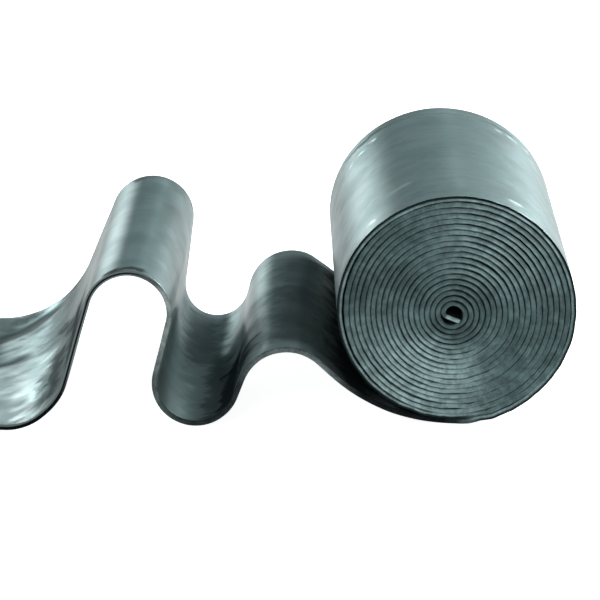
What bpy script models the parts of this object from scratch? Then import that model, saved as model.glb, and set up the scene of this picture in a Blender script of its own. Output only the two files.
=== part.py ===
"""Roll of lead roof flashing, lying on its side with its tail unrolled in waves.

The whole object is one strip of sheet lead. Most of it is wound round an open eye, and
the rest leaves the bottom of the roll as a tail, which rises over a small crest, dips to
the floor, rises over a big crest, comes down again and ends flat on the floor.

Metres, +Z up, floor at z = 0. The roll's axis runs along Y, the tail runs out along -X,
and the origin is the middle of the footprint. The functions below measure from the roll's
bottom at its near end, and the finished strip is then centred.
"""
import math

import bmesh
import bpy

# Sheet
STRIP_WIDTH = 0.150
STRIP_THICKNESS = 0.0018
STRIP_LENGTH = 3.000

# Roll: air between its turns, how far from its axis the middle of the sheet starts,
# and its height as a share of what a round one has, since it sags under its own weight
TURN_GAP = 0.00009
EYE_RADIUS = 0.0027
SAG = 0.97

# Turns seen on the two ends: a groove follows the joint between them
GROOVE_DEPTH = 0.0015
EDGE_WEAR = 0.00018

# Waves of the tail, in order from the roll, each as (near edge, far edge)
LIFT_RADIUS = (0.0610, 0.0694)
LIFT_ANGLE = (42.9, 32.7)
LIFT_RUN = (0.0071, 0.0204)
SMALL_CREST_RADIUS = (0.0163, 0.0150)
SMALL_FALL_ANGLE = (68.3, 74.8)
VALLEY_RADIUS = (0.0142, 0.0125)
BIG_RISE_ANGLE = (104.1, 97.2)
BIG_RISE_RUN = (0.0186, 0.0236)
BIG_CREST_RADIUS = (0.0142, 0.0143)
BIG_FALL_ANGLE = (73.6, 67.8)
END_VALLEY_RADIUS = (0.0214, 0.0359)

# Tail: where it parts from the roll, how its waves lean across it, and its flat end
PARTING_DISTANCE = 0.008
SKEW_ANGLE = 3.1
SKEW_RUN = 0.060
END_LAND = 0.010

# Fineness of the facets
CHORD_ERROR = 0.00012
TAIL_STEP = 0.0022
SHARP_ANGLE = 30.0

LEAD_COLOUR = (0.16, 0.20, 0.20, 1.0)
LEAD_ROUGHNESS = 0.42
LEAD_METALLIC = 0.85

HALF_SHEET = STRIP_THICKNESS / 2
PITCH = STRIP_THICKNESS + TURN_GAP
NEAR, FAR = 0, 1


class EdgePath:
    """The middle of the sheet along one long edge of the tail.

    It is a chain of straights and arcs in the XZ plane. It starts at the roll's bottom,
    and its heading is 0 along -X and positive upwards.
    """

    def __init__(self):
        self.stretches = []
        self.length = 0.0
        self.height = HALF_SHEET
        self.heading = 0.0

    def run(self, length):
        self.stretches.append((length, 0.0))
        self.length += length
        self.height += length * math.sin(self.heading)

    def bend(self, radius, heading):
        turn = heading - self.heading
        signed_radius = math.copysign(radius, turn)
        self.stretches.append((radius * abs(turn), 1 / signed_radius))
        self.length += radius * abs(turn)
        self.height += signed_radius * (math.cos(self.heading) - math.cos(heading))
        self.heading = heading

    def descend(self, radius):
        """Runs on downhill until an arc of this radius sets the sheet down on the floor."""
        arc_drop = radius * (1 - math.cos(self.heading))
        self.run((HALF_SHEET + arc_drop - self.height) / math.sin(self.heading))
        self.bend(radius, 0.0)

    def breaks(self):
        """Distances at which one stretch gives way to the next."""
        distance = 0.0
        for length, _ in self.stretches:
            distance += length
            yield distance

    def at(self, distance):
        """x, z and heading at a distance from the roll's bottom."""
        x, z, heading = 0.0, HALF_SHEET, 0.0
        for length, curvature in self.stretches + [(math.inf, 0.0)]:
            step = min(length, distance)
            turned = heading + curvature * step
            if curvature:
                x -= (math.sin(turned) - math.sin(heading)) / curvature
                z += (math.cos(heading) - math.cos(turned)) / curvature
            else:
                x -= math.cos(heading) * step
                z += math.sin(heading) * step
            heading = turned
            distance -= step
            if distance <= 0:
                return x, z, heading


def tail_path(edge):
    """Waves of one edge: small crest, valley, big crest, end valley."""
    path = EdgePath()
    path.bend(LIFT_RADIUS[edge], math.radians(LIFT_ANGLE[edge]))
    path.run(LIFT_RUN[edge])
    path.bend(SMALL_CREST_RADIUS[edge], -math.radians(SMALL_FALL_ANGLE[edge]))
    path.descend(VALLEY_RADIUS[edge])
    path.bend(VALLEY_RADIUS[edge], math.radians(BIG_RISE_ANGLE[edge]))
    path.run(BIG_RISE_RUN[edge])
    path.bend(BIG_CREST_RADIUS[edge], -math.radians(BIG_FALL_ANGLE[edge]))
    path.descend(END_VALLEY_RADIUS[edge])
    return path


PATHS = (tail_path(NEAR), tail_path(FAR))
TAIL_LENGTH = max(path.length for path in PATHS) + END_LAND

# The wound length fills the ring between the eye and the outside, one pitch a turn
OUTER_MIDDLE_RADIUS = math.sqrt(EYE_RADIUS ** 2 + PITCH * (STRIP_LENGTH - TAIL_LENGTH) / math.pi)
ROLL_RADIUS = OUTER_MIDDLE_RADIUS + HALF_SHEET
TURNS = (OUTER_MIDDLE_RADIUS - EYE_RADIUS) / PITCH


def skew_at(distance):
    """Angle between the waves' ridges and the roll's axis, eased in after the parting."""
    part = min(max((distance - PARTING_DISTANCE) / SKEW_RUN, 0.0), 1.0)
    return math.radians(SKEW_ANGLE) * part * part * (3 - 2 * part)


def tail_point(edge, distance, rise):
    """Point of the tail at one edge, so far from the roll's bottom, rise above mid-sheet."""
    x, z, heading = PATHS[edge].at(distance)
    skew = skew_at(distance)
    across = edge * STRIP_WIDTH
    creep = math.sin(skew) * (distance + x)
    return (
        x + rise * math.sin(heading) + across * math.tan(skew),
        across - creep,
        z + rise * math.cos(heading),
    )


def roll_point(edge, turn, depth):
    """Point on an end of the roll, so many turns in from its bottom and so deep in the sheet."""
    angle = 2 * math.pi * turn
    radius = ROLL_RADIUS - PITCH * turn - depth
    return (
        radius * math.sin(angle),
        edge * STRIP_WIDTH,
        SAG * (ROLL_RADIUS - radius * math.cos(angle)),
    )


def tail_distances():
    """Distances of the tail's cross rows, from its end to the parting."""
    marks = {PARTING_DISTANCE, TAIL_LENGTH}
    for path in PATHS:
        marks.update(mark for mark in path.breaks() if mark > PARTING_DISTANCE)
    rows = [PARTING_DISTANCE]
    for mark in sorted(marks):
        gap = mark - rows[-1]
        count = math.ceil(gap / TAIL_STEP)
        if gap < TAIL_STEP / 4:
            continue
        start = rows[-1]
        rows += [start + gap * step / count for step in range(1, count + 1)]
    rows.reverse()
    return rows


def turn_steps(start, end):
    """Turns at which the spiral has a point, closer together as it tightens."""
    turns = [start]
    while True:
        radius = ROLL_RADIUS - PITCH * turns[-1]
        step = math.acos(1 - CHORD_ERROR / radius) / math.pi
        if turns[-1] + 1.5 * step > end:
            return turns + [end]
        turns.append(turns[-1] + step)


def parting_steps():
    """Distances of the groove's points between the parting and the roll's bottom."""
    count = math.ceil(PARTING_DISTANCE / TAIL_STEP)
    return [PARTING_DISTANCE * (1 - step / count) for step in range(count)]


def turn_above(x):
    """Turn at which the roll's outside lies over a point of the tail under it."""
    return 1 - math.asin(-x / (ROLL_RADIUS - PITCH)) / (2 * math.pi)


def strip_turn(distance):
    """Distance along the tail, counted in turns like the wound strip's, and negative."""
    return -distance / (2 * math.pi * ROLL_RADIUS)


def groove_mouth(edge):
    """Both lips of the groove as rows of (turn, outer lip, inner lip), from outside in."""
    rows = []
    for distance in parting_steps():
        wear = EDGE_WEAR * (1 - distance / PARTING_DISTANCE)
        outer = tail_point(edge, distance, HALF_SHEET - wear)
        above = turn_above(outer[0])
        rows.append((strip_turn(distance), outer, roll_point(edge, above, wear)))
    for turn in turn_steps(0.0, TURNS - 1):
        outer = roll_point(edge, turn, STRIP_THICKNESS - EDGE_WEAR)
        rows.append((turn, outer, roll_point(edge, turn + 1, EDGE_WEAR)))
    return rows


def groove_bottom(edge, outer, inner):
    """Point midway between two lips, a groove's depth inside the roll."""
    inward = GROOVE_DEPTH if edge == NEAR else -GROOVE_DEPTH
    return (
        (outer[0] + inner[0]) / 2,
        outer[1] + inward,
        (outer[2] + inner[2]) / 2,
    )


def band(mesh, side, other):
    """Quads between two rows of as many points."""
    for index in range(len(side) - 1):
        mesh.faces.new((side[index], side[index + 1], other[index + 1], other[index]))


def stitch(mesh, side, other):
    """Triangles between two rows of (turn, vertex) whose points aren't in step."""
    i, j = 0, 0
    while i < len(side) - 1 or j < len(other) - 1:
        side_next = side[i + 1][0] if i < len(side) - 1 else math.inf
        other_next = other[j + 1][0] if j < len(other) - 1 else math.inf
        if side_next <= other_next:
            mesh.faces.new((side[i][1], side[i + 1][1], other[j][1]))
            i += 1
        else:
            mesh.faces.new((side[i][1], other[j + 1][1], other[j][1]))
            j += 1


def end_of_strip(mesh, edge):
    """One long edge of the strip, from the tail's end to the eye, and the rows it is made of."""
    distances = tail_distances()
    tail_turns = [strip_turn(distance) for distance in distances]
    below = [mesh.verts.new(tail_point(edge, distance, -HALF_SHEET)) for distance in distances]
    above = [mesh.verts.new(tail_point(edge, distance, HALF_SHEET)) for distance in distances[:-1]]

    mouth = groove_mouth(edge)
    groove_turns = [turn for turn, _, _ in mouth]
    outer_lip = [mesh.verts.new(outer) for _, outer, _ in mouth]
    inner_lip = [mesh.verts.new(inner) for _, _, inner in mouth]
    bottom = [mesh.verts.new(groove_bottom(edge, outer, inner)) for _, outer, inner in mouth]
    band(mesh, outer_lip, bottom)
    band(mesh, bottom, inner_lip)

    parting_turn = groove_turns[0] + 1
    outside_turns = turn_steps(0.0, parting_turn)[:-1]
    outside = [mesh.verts.new(roll_point(edge, turn, 0.0)) for turn in outside_turns]
    eye_turns = turn_steps(TURNS - 1, TURNS)[1:]
    eye = [mesh.verts.new(roll_point(edge, turn, STRIP_THICKNESS)) for turn in eye_turns]

    lower_side = list(zip(tail_turns, below)) + list(zip(outside_turns, outside))
    lower_side += [(turn + 1, vertex) for turn, vertex in zip(groove_turns, inner_lip)]
    upper_side = list(zip(tail_turns[:-1], above)) + list(zip(groove_turns, outer_lip))
    upper_side += list(zip(eye_turns, eye))
    stitch(mesh, lower_side, upper_side)

    return {
        "underside": below + outside + inner_lip[:1],
        "topside": above + outer_lip[:1],
        "parting": [outer_lip[0], bottom[0], inner_lip[0]],
        "eye": outer_lip[-1:] + eye,
        "inner_end": [eye[-1], inner_lip[-1], bottom[-1], outer_lip[-1]],
        "tail_end": [below[0], above[0]],
    }


def lead_material():
    material = bpy.data.materials.new("lead")
    material.use_nodes = True
    surface = material.node_tree.nodes["Principled BSDF"]
    surface.inputs["Base Color"].default_value = LEAD_COLOUR
    surface.inputs["Roughness"].default_value = LEAD_ROUGHNESS
    surface.inputs["Metallic"].default_value = LEAD_METALLIC
    material.diffuse_color = LEAD_COLOUR
    return material


def centre_footprint(mesh):
    """Moves the strip along the floor until the middle of its footprint is at the origin."""
    middles = []
    for axis in (0, 1):
        places = [vertex.co[axis] for vertex in mesh.verts]
        middles.append((min(places) + max(places)) / 2)
    bmesh.ops.translate(mesh, verts=mesh.verts[:], vec=(-middles[0], -middles[1], 0.0))


def flashing_strip():
    """The whole strip, closed between its near and far edges."""
    mesh = bmesh.new()
    near = end_of_strip(mesh, NEAR)
    far = end_of_strip(mesh, FAR)
    for row in near:
        band(mesh, near[row], far[row])
    bmesh.ops.recalc_face_normals(mesh, faces=mesh.faces[:])
    centre_footprint(mesh)
    data = bpy.data.meshes.new("flashing_strip")
    mesh.to_mesh(data)
    mesh.free()
    data.materials.append(lead_material())
    data.shade_smooth()
    data.set_sharp_from_angle(angle=math.radians(SHARP_ANGLE))
    strip = bpy.data.objects.new("flashing_strip", data)
    bpy.context.collection.objects.link(strip)
    return strip


for leftover in list(bpy.data.objects):
    bpy.data.objects.remove(leftover, do_unlink=True)
flashing_strip()
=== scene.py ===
# %% [markdown]
# A roll of roof flashing, one strip of sheet lead
#
# The real object is a single strip of soft grey sheet lead. Most of it is wound in a roll
# that lies on its side, and the free end runs out over the floor in hand-bent waves. In
# this lesson the strip is made as what it is: one sheet, with two long cut edges, swept
# along its own route from the end of the tail to the eye of the roll. First comes the
# frame, the finished solid part that the looks have to fit.

# %% The frame
import math

import bpy
import numpy as np
from mathutils import Matrix, Vector


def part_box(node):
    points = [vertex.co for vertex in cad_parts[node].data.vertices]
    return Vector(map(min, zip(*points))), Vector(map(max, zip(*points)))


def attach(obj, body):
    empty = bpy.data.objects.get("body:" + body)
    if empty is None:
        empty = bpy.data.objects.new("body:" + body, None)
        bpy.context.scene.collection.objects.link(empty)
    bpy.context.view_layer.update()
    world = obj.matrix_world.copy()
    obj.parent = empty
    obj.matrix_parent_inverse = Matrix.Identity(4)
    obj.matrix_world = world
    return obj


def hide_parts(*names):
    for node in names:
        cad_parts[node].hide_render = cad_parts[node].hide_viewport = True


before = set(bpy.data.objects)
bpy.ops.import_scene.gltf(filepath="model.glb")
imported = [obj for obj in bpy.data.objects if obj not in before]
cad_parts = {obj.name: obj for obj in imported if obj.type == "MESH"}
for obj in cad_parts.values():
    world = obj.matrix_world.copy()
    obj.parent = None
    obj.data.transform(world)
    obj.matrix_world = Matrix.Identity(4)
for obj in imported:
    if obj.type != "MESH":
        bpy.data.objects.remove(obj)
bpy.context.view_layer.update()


def in_mm(lengths, digits=1):
    """Lengths in metres as rounded millimetres, for printing."""
    return [round(length * 1000, digits) for length in lengths]


strip_low, strip_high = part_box("flashing_strip")
print("the solid strip is", in_mm(strip_high - strip_low), "mm")

# %% [markdown]
# Sizes of the sheet and of the roll
#
# Lead for roofs is sold by its thickness. This is the common 1.8 mm sheet, slit 150 mm
# wide and cut 3 m long. A little air stays between the turns, so the pitch of the spiral
# is the sheet and that air together. The wound length then fixes how thick the roll is.
# So heavy a roll sags, and stands a little lower than a round one. Everything below is in
# metres and measured from the roll's bottom at its near end.

# %% Sheet and roll
STRIP_WIDTH = 0.150
STRIP_THICKNESS = 0.0018
STRIP_LENGTH = 3.000
TURN_GAP = 0.00009
EYE_RADIUS = 0.0027
SAG = 0.97

HALF_SHEET = STRIP_THICKNESS / 2
PITCH = STRIP_THICKNESS + TURN_GAP
print("the turns lie", *in_mm([PITCH], 2), "mm apart")

# %% [markdown]
# The waves of the tail
#
# A hand bends soft lead into round crests and valleys with short straight flanks between
# them. The two long edges don't run quite alike, because the strip was twisted a little as
# it was laid. So each edge gets its own chain of arcs and straights, and the sheet is
# stretched between the two, as a ruled surface. Points pulled about by hand would do too,
# but the chain keeps every bend round, and it only needs radii and angles.

# %% A chain of arcs and straights
class EdgePath:
    """The middle of the sheet along one long edge of the tail, in the XZ plane."""

    def __init__(self):
        self.stretches = []
        self.length = 0.0
        self.height = HALF_SHEET
        self.heading = 0.0

    def run(self, length):
        self.stretches.append((length, 0.0))
        self.length += length
        self.height += length * math.sin(self.heading)

    def bend(self, radius, heading):
        turn = heading - self.heading
        signed_radius = math.copysign(radius, turn)
        self.stretches.append((radius * abs(turn), 1 / signed_radius))
        self.length += radius * abs(turn)
        self.height += signed_radius * (math.cos(self.heading) - math.cos(heading))
        self.heading = heading

    def descend(self, radius):
        """Straight down to where an arc of this radius just brings the path to the floor."""
        arc_drop = radius * (1 - math.cos(self.heading))
        self.run((HALF_SHEET + arc_drop - self.height) / math.sin(self.heading))
        self.bend(radius, 0.0)

    def at(self, distance):
        """x, z and heading so far from the roll's bottom."""
        x, z, heading = 0.0, HALF_SHEET, 0.0
        for length, curvature in self.stretches + [(math.inf, 0.0)]:
            step = min(length, distance)
            turned = heading + curvature * step
            if curvature:
                x -= (math.sin(turned) - math.sin(heading)) / curvature
                z += (math.cos(heading) - math.cos(turned)) / curvature
            else:
                x -= math.cos(heading) * step
                z += math.sin(heading) * step
            heading = turned
            distance -= step
            if distance <= 0:
                return x, z, heading


# %% Waves of the tail, each as (near edge, far edge), radii in metres and angles in degrees
LIFT_RADIUS = (0.0610, 0.0694)
LIFT_ANGLE = (42.9, 32.7)
LIFT_RUN = (0.0071, 0.0204)
SMALL_CREST_RADIUS = (0.0163, 0.0150)
SMALL_FALL_ANGLE = (68.3, 74.8)
VALLEY_RADIUS = (0.0142, 0.0125)
BIG_RISE_ANGLE = (104.1, 97.2)
BIG_RISE_RUN = (0.0186, 0.0236)
BIG_CREST_RADIUS = (0.0142, 0.0143)
BIG_FALL_ANGLE = (73.6, 67.8)
END_VALLEY_RADIUS = (0.0214, 0.0359)
END_LAND = 0.010
NEAR, FAR = 0, 1


def tail_path(edge):
    path = EdgePath()
    path.bend(LIFT_RADIUS[edge], math.radians(LIFT_ANGLE[edge]))
    path.run(LIFT_RUN[edge])
    path.bend(SMALL_CREST_RADIUS[edge], -math.radians(SMALL_FALL_ANGLE[edge]))
    path.descend(VALLEY_RADIUS[edge])
    path.bend(VALLEY_RADIUS[edge], math.radians(BIG_RISE_ANGLE[edge]))
    path.run(BIG_RISE_RUN[edge])
    path.bend(BIG_CREST_RADIUS[edge], -math.radians(BIG_FALL_ANGLE[edge]))
    path.descend(END_VALLEY_RADIUS[edge])
    return path


PATHS = (tail_path(NEAR), tail_path(FAR))
TAIL_LENGTH = max(path.length for path in PATHS) + END_LAND
OUTER_MIDDLE_RADIUS = math.sqrt(EYE_RADIUS ** 2 + PITCH * (STRIP_LENGTH - TAIL_LENGTH) / math.pi)
ROLL_RADIUS = OUTER_MIDDLE_RADIUS + HALF_SHEET
ROLL_CENTRE_HEIGHT = SAG * ROLL_RADIUS
TURNS = (OUTER_MIDDLE_RADIUS - EYE_RADIUS) / PITCH
print("tail and roll radius", in_mm([TAIL_LENGTH, ROLL_RADIUS], 2), "mm,", round(TURNS, 2), "turns")

# %% [markdown]
# One route for each long edge
#
# A route is a row of points, and each point carries what the sweep needs: which way the
# sheet's upper side faces, how far along the strip it is, and whether the sheet is open
# there or pinched shut, which closes its two short ends. A curve object could hold a route
# too, but it turns what it carries by a rule of its own. The tail's rulings lean a few
# degrees, and that lean eases in after the strip has left the roll.

# %% Stations of the tail
PARTING_DISTANCE = 0.008
SKEW_ANGLE = 3.1
SKEW_RUN = 0.060


def eased(share):
    """The share held between nothing and one, with a soft start and a soft end."""
    held = min(max(share, 0.0), 1.0)
    return held * held * (3 - 2 * held)


def skew_at(distance):
    return math.radians(SKEW_ANGLE) * eased((distance - PARTING_DISTANCE) / SKEW_RUN)


def tail_station(edge, distance):
    """Point, direction of the upper side and distance along the strip, which is negative."""
    x, z, heading = PATHS[edge].at(distance)
    skew = skew_at(distance)
    across = edge * STRIP_WIDTH
    point = (
        x + across * math.tan(skew),
        across - math.sin(skew) * (distance + x),
        z,
    )
    return point, (math.sin(heading), 0.0, math.cos(heading)), -distance


print("the near edge starts at", in_mm(tail_station(NEAR, TAIL_LENGTH)[0]), "mm")

# %% [markdown]
# The wound part
#
# A wound roll of lead is never a perfect spiral. The core sinks a little, so the turns lie
# tighter below the eye. The outermost turn has sprung off a little on the left. The inner
# end of the strip is a short tongue that stands off from the turn below it. A spiral made
# by the Screw modifier has none of this, so the turns are worked out here, point by point.

# %% The spiral
CORE_SHIFT = (-0.0011, -0.0017)
SPRING_OFF = 0.00040
SPRING_TURNS = (0.52, 0.99)


def hump(value, low, high):
    """Rises smoothly from nothing at one bound to one in the middle and falls to the other."""
    share = min(max((value - low) / (high - low), 0.0), 1.0)
    return math.sin(math.pi * share) ** 2


def wound_length(turn):
    return 2 * math.pi * (OUTER_MIDDLE_RADIUS * turn - PITCH * turn ** 2 / 2)


def spiral_point(turn):
    """x and z of the middle of the sheet, so many turns in from the roll's bottom."""
    angle = 2 * math.pi * turn
    radius = OUTER_MIDDLE_RADIUS - PITCH * turn
    radius += SPRING_OFF * hump(turn, *SPRING_TURNS)
    sunk = turn / TURNS
    x = radius * math.sin(angle) + sunk * CORE_SHIFT[0]
    return x, SAG * (ROLL_RADIUS - radius * math.cos(angle)) + sunk * CORE_SHIFT[1]


print("the outermost turn takes", *in_mm([wound_length(1.0)]), "mm of strip")

# %% The tongue in the eye
PAST_LAST_TURN = 0.05
TONGUE_TURNS = 0.41
END_TURN = TURNS + PAST_LAST_TURN
TONGUE_START = END_TURN - TONGUE_TURNS
TONGUE_BEND_RADIUS = 0.0015
TONGUE_HEADING = -23.0
TONGUE_RUN = 0.0050
TURN_STEP = 0.002


def tongue_point(turn):
    """x and z on the tongue, which leaves the spiral in a tight bend and then runs straight."""
    x, z = spiral_point(TONGUE_START)
    x_after, z_after = spiral_point(TONGUE_START + TURN_STEP)
    heading = math.atan2(z_after - z, x_after - x)
    bend_length = TONGUE_BEND_RADIUS * (math.radians(TONGUE_HEADING) - heading)
    distance = (bend_length + TONGUE_RUN) * (turn - TONGUE_START) / TONGUE_TURNS
    bent = heading + min(distance, bend_length) / TONGUE_BEND_RADIUS
    x += TONGUE_BEND_RADIUS * (math.sin(bent) - math.sin(heading))
    z += TONGUE_BEND_RADIUS * (math.cos(heading) - math.cos(bent))
    straight = max(distance - bend_length, 0.0)
    return x + straight * math.cos(bent), z + straight * math.sin(bent)


def roll_point(turn):
    return spiral_point(turn) if turn <= TONGUE_START else tongue_point(turn)


def roll_station(edge, turn):
    """The same as tail_station for the wound strip. Its upper side is square to its run."""
    x, z = roll_point(turn)
    x_before, z_before = roll_point(turn - TURN_STEP)
    x_after, z_after = roll_point(turn + TURN_STEP)
    run = math.hypot(x_after - x_before, z_after - z_before)
    up = ((z_before - z_after) / run, 0.0, (x_after - x_before) / run)
    return (x, edge * STRIP_WIDTH, z), up, wound_length(turn)


print("the tongue ends at", in_mm(roll_point(END_TURN)), "mm")

# %% The stations of each edge
OUTER_STEP = 0.00135
STEPS_PER_INNER_TURN = 44


def stations(edge):
    tail_count = round(TAIL_LENGTH / OUTER_STEP)
    outer_count = round(wound_length(1.0) / OUTER_STEP)
    inner_count = math.ceil((END_TURN - 1) * STEPS_PER_INNER_TURN)
    distances = [TAIL_LENGTH * (1 - step / tail_count) for step in range(tail_count)]
    turns = [step / outer_count for step in range(outer_count)]
    turns += [1 + step / STEPS_PER_INNER_TURN for step in range(inner_count)] + [END_TURN]
    rows = [tail_station(edge, distance) for distance in distances]
    return rows + [roll_station(edge, turn) for turn in turns]


near_stations, far_stations = stations(NEAR), stations(FAR)
print(len(near_stations), "stations along the strip")

# %% [markdown]
# Wear of the near edge, and painted light on it
#
# The end of the roll doesn't look the same all round. In some sectors the cut edges are
# worn flat, in some they are bruised by knocks, and in some they are lighter, which is
# painted light. This could be painted on by hand, but here a sector is just a direction on
# the end of the roll and a half width, in degrees, and how strong it is. The turns next to
# the eye stay calm, and the tongue is painted light.

# %% Sectors of the roll's end, each as (middle angle, half width, strength)
WORN_SECTORS = ((308.0, 84.0, 1.0), (108.0, 52.0, 0.85))
BRUISED_SECTORS = ((274.0, 62.0, 1.0), (90.0, 40.0, 0.40))
# Painted light: in these sectors the rings of the cut edge are painted lighter.
PAINTED_LIGHT_SECTORS = ((240.0, 72.0, 1.0), (58.0, 66.0, 0.50))
CALM_RADIUS = 0.009
LEAST_BRUISED = 0.25
TONGUE_DULL_SHARE = 0.3
TONGUE_BRIGHT_FROM = wound_length(TONGUE_START + TONGUE_TURNS * TONGUE_DULL_SHARE)


def turned_from(point, middle_height):
    """Position angle on the roll's end in degrees, and distance from its middle."""
    side, height = point[0], point[2] - middle_height
    return math.degrees(math.atan2(height, side)) % 360, math.hypot(side, height)


def in_sectors(angle, sectors):
    """The strongest of the sectors at this angle."""
    strength = 0.0
    for middle, half, top in sectors:
        away = abs((angle - middle + 180) % 360 - 180)
        strength = max(strength, top * hump(away + half, 0.0, 2 * half))
    return strength


def edge_state(point, distance):
    """How far the near edge is worn flat and bruised, and its share of painted light, at one station.
    """
    if distance <= 0:
        return 0.0, 0.0, 0.0
    angle, radius = turned_from(point, ROLL_CENTRE_HEIGHT)
    outside_core = min(max((radius - CALM_RADIUS) / CALM_RADIUS, 0.0), 1.0)
    worn, bruised, rubbed = [
        outside_core * in_sectors(angle, sectors)
        for sectors in (WORN_SECTORS, BRUISED_SECTORS, PAINTED_LIGHT_SECTORS)
    ]
    # The tongue takes full painted light.
    if distance > TONGUE_BRIGHT_FROM:
        rubbed = 1.0
    return worn, max(bruised, LEAST_BRUISED), rubbed


# %% The routes as meshes of loose points
FREE_UNTIL = 0.26
CREASED_SPAN = (-0.226, -0.244)


def crease_share(distance):
    return eased((distance - CREASED_SPAN[0]) / (CREASED_SPAN[1] - CREASED_SPAN[0]))


def route(rows, name):
    """The stations of one edge as a mesh of loose points with the sweep's attributes."""
    rows = rows[:1] + rows + rows[-1:]
    mesh = bpy.data.meshes.new(name)
    mesh.from_pydata([point for point, _, _ in rows], [], [])
    up = mesh.attributes.new("up", "FLOAT_VECTOR", "POINT")
    up.data.foreach_set("vector", [number for _, direction, _ in rows for number in direction])
    distances = [distance for _, _, distance in rows]
    worn, bruised, rubbed = zip(*[edge_state(point, distance) for point, _, distance in rows])
    states = {
        "along": distances,
        "open": [0.0] + [1.0] * (len(rows) - 2) + [0.0],
        "worn": worn,
        "bruised": bruised,
        "rubbed": rubbed,
        "free": [min(1.0, max(0.0, 1 - distance / FREE_UNTIL)) for distance in distances],
        "creased": [crease_share(distance) for distance in distances],
    }
    for state_name, values in states.items():
        added = mesh.attributes.new(state_name, "FLOAT", "POINT")
        added.data.foreach_set("value", values)
    guide = bpy.data.objects.new(name, mesh)
    bpy.context.collection.objects.link(guide)
    guide.hide_render = True
    return guide


near_route = route(near_stations, "near_edge_route")
far_route = route(far_stations, "far_edge_route")
print(len(near_route.data.vertices), "points on each route")

# %% Where the strip is set down
def footprint_middle():
    """Middle of the strip's footprint, taken on the side that lies outside on the roll."""
    outside = []
    for point, up, _ in near_stations + far_stations:
        outside.append([part - HALF_SHEET * direction for part, direction in zip(point, up)])
    outside = np.array(outside)
    return (outside.min(axis=0) + outside.max(axis=0)) / 2


own_middle = footprint_middle()
solid_middle = (strip_low + strip_high) / 2
place = Vector((solid_middle.x - own_middle[0], solid_middle.y - own_middle[1], 0.0))
print("the strip is set down at", in_mm(place, 2), "mm")

# %% [markdown]
# The section of the sheet
#
# Cut across, the sheet is a long thin bar whose edges were rounded a little by the slitting
# knife. Those round edges are what makes each turn show as its own ridge on the end of the
# roll, so they are modelled, and not left to a Bevel modifier, which would round every edge
# alike. The outline goes once round the bar. Its points crowd together near the edges,
# where the dents and the rolled rims are, and are far apart in the middle.

# %% Outline of the section, as (distance from the near edge, lift above mid-sheet)
EDGE_DEPTH = 0.00034
EDGE_STEPS = 6
SIDE_PLACES = [
    0.0009, 0.0022, 0.0038, 0.0052, 0.0070, 0.0095, 0.0130, 0.0180,
    0.0240, 0.0305, 0.0375, 0.0450, 0.0530, 0.0605, 0.0680,
]


def section_outline():
    near_cap = []
    for step in range(EDGE_STEPS + 1):
        angle = math.pi * (step / EDGE_STEPS - 0.5)
        near_cap.append((EDGE_DEPTH * (1 - math.cos(angle)), HALF_SHEET * math.sin(angle)))
    far_places = [STRIP_WIDTH - place for place in reversed(SIDE_PLACES)]
    places = SIDE_PLACES + [STRIP_WIDTH / 2] + far_places
    upper = [(place, HALF_SHEET) for place in places]
    far_cap = [(STRIP_WIDTH - place, lift) for place, lift in reversed(near_cap)]
    lower = [(place, -HALF_SHEET) for place in reversed(places)]
    return near_cap + upper + far_cap + lower


section = section_outline()
section_mesh = bpy.data.meshes.new("sheet_section")
section_mesh.from_pydata([(place, 0.0, lift) for place, lift in section + section[:1]], [], [])
section_guide = bpy.data.objects.new("sheet_section", section_mesh)
bpy.context.collection.objects.link(section_guide)
section_guide.hide_render = True
print(len(section), "points round the section")

# %% [markdown]
# The sweep, as Geometry Nodes
#
# A grid has one column of points for each station and one row for each point of the
# section. The tree looks up, for every grid point, its station on both routes and its place
# in the section, and sets the point between the two routes. Curve to Mesh sweeps a section
# too, but along one curve only, and here the two edges differ. A slow noise moves the edges
# sideways by a fraction of a millimetre, because hand-wound turns never end quite flush.
# Five attributes stay on the mesh for the finish: along, across, lift, worn, and the share
# of painted light on the cut edges.

# %% Small helpers for building node trees
def node(tree, kind, inputs=(), **settings):
    """A new node with its settings made and its inputs given values or links."""
    made = tree.nodes.new(kind)
    for name, value in settings.items():
        setattr(made, name, value)
    for name, value in dict(inputs).items():
        if isinstance(value, bpy.types.NodeSocket):
            tree.links.new(value, made.inputs[name])
        else:
            made.inputs[name].default_value = value
    return made


def maths(tree, operation, first, second=0.0, clamp=False):
    inputs = {0: first, 1: second}
    return node(tree, "ShaderNodeMath", inputs, operation=operation, use_clamp=clamp).outputs[0]


def vector_maths(tree, operation, first, second=(0.0, 0.0, 0.0)):
    return node(tree, "ShaderNodeVectorMath", {0: first, 1: second}, operation=operation).outputs[0]


def scaled(tree, vector, factor):
    made = node(tree, "ShaderNodeVectorMath", {0: vector, "Scale": factor}, operation="SCALE")
    return made.outputs[0]


def combined(tree, x, y, z=0.0):
    return node(tree, "ShaderNodeCombineXYZ", {"X": x, "Y": y, "Z": z}).outputs[0]


# %% Inputs of the sweep
SEED = 7.0
SWEEP_INPUTS = (
    ("Near Route", "NodeSocketObject", near_route),
    ("Far Route", "NodeSocketObject", far_route),
    ("Section", "NodeSocketObject", section_guide),
    ("Strip Width", "NodeSocketFloat", STRIP_WIDTH),
    ("Edge Wander", "NodeSocketFloat", 0.00120),
    ("Wander Length", "NodeSocketFloat", 0.055),
    ("Sheet Wave", "NodeSocketFloat", 0.00035),
    ("Wave Length", "NodeSocketFloat", 0.030),
    ("Crease Height", "NodeSocketFloat", 0.0012),
    ("Bruise Height", "NodeSocketFloat", 0.00110),
    ("Bruise Length", "NodeSocketFloat", 0.0055),
    ("Bruise Depth", "NodeSocketFloat", 0.0016),
    ("Seed", "NodeSocketFloat", SEED),
    ("Lead", "NodeSocketMaterial", None),
)
print(len(SWEEP_INPUTS), "inputs, with seed", SEED)

# %% Looking up the routes and the section
STATE_NAMES = ("open", "worn", "bruised", "rubbed", "free", "creased")


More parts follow.
